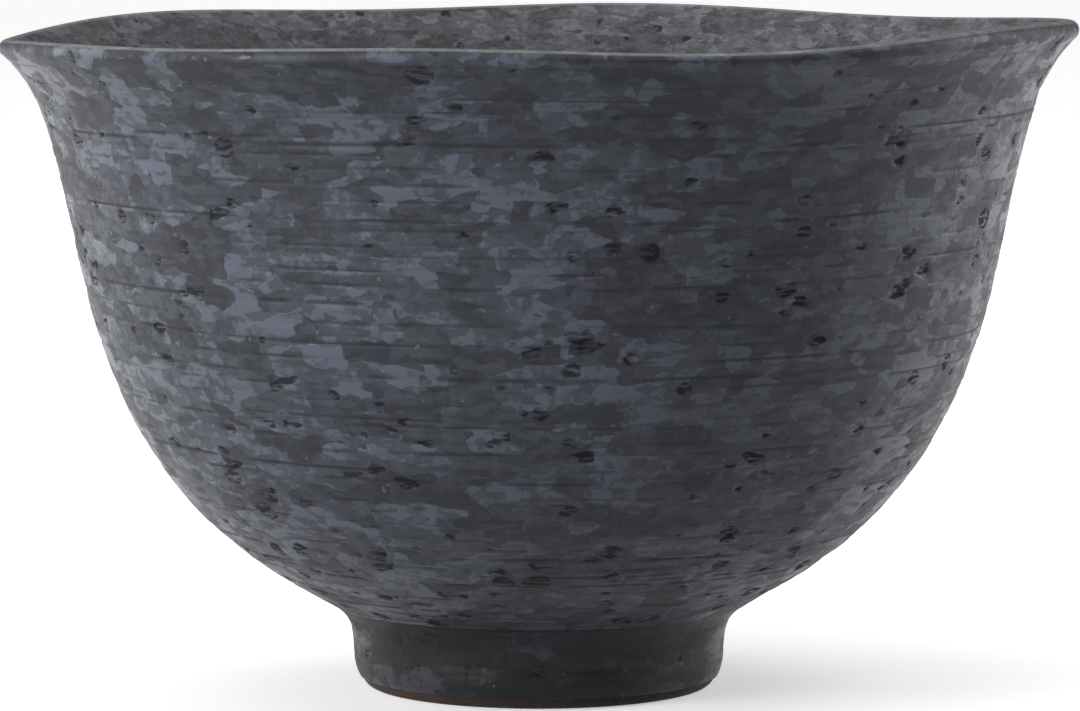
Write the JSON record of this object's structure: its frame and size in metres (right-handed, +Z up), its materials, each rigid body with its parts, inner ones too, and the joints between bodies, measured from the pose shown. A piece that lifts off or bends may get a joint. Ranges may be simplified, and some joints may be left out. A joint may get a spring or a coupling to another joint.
{
  "type": "bowl",
  "caption": "Deep round stoneware bowl with a thin flared lip, a narrow tall foot and a dark mottled glaze, for food, noodles or tea.",
  "frame": {"origin": "centre of the bowl's footprint, on the surface it stands on", "axes": "+Z up along the bowl's turning axis; -Y towards the viewer of the picture, +X to that viewer's right"},
  "size_m": [0.16, 0.16, 0.1002],
  "materials": {
    "clay": "bare fired stoneware",
    "slip": "fired joining slip",
    "glaze": "semi-matt mottled charcoal glaze",
    "inner_glaze": "semi-matt grey glaze, finely pitted"
  },
  "bodies": {
    "root": {"stoneware_body": "clay", "foot_ring": "clay", "luting_slip": "slip", "outer_glaze": "glaze", "inner_glaze": "inner_glaze", "foot_well_glaze": "glaze"}
  },
  "joints": []
}
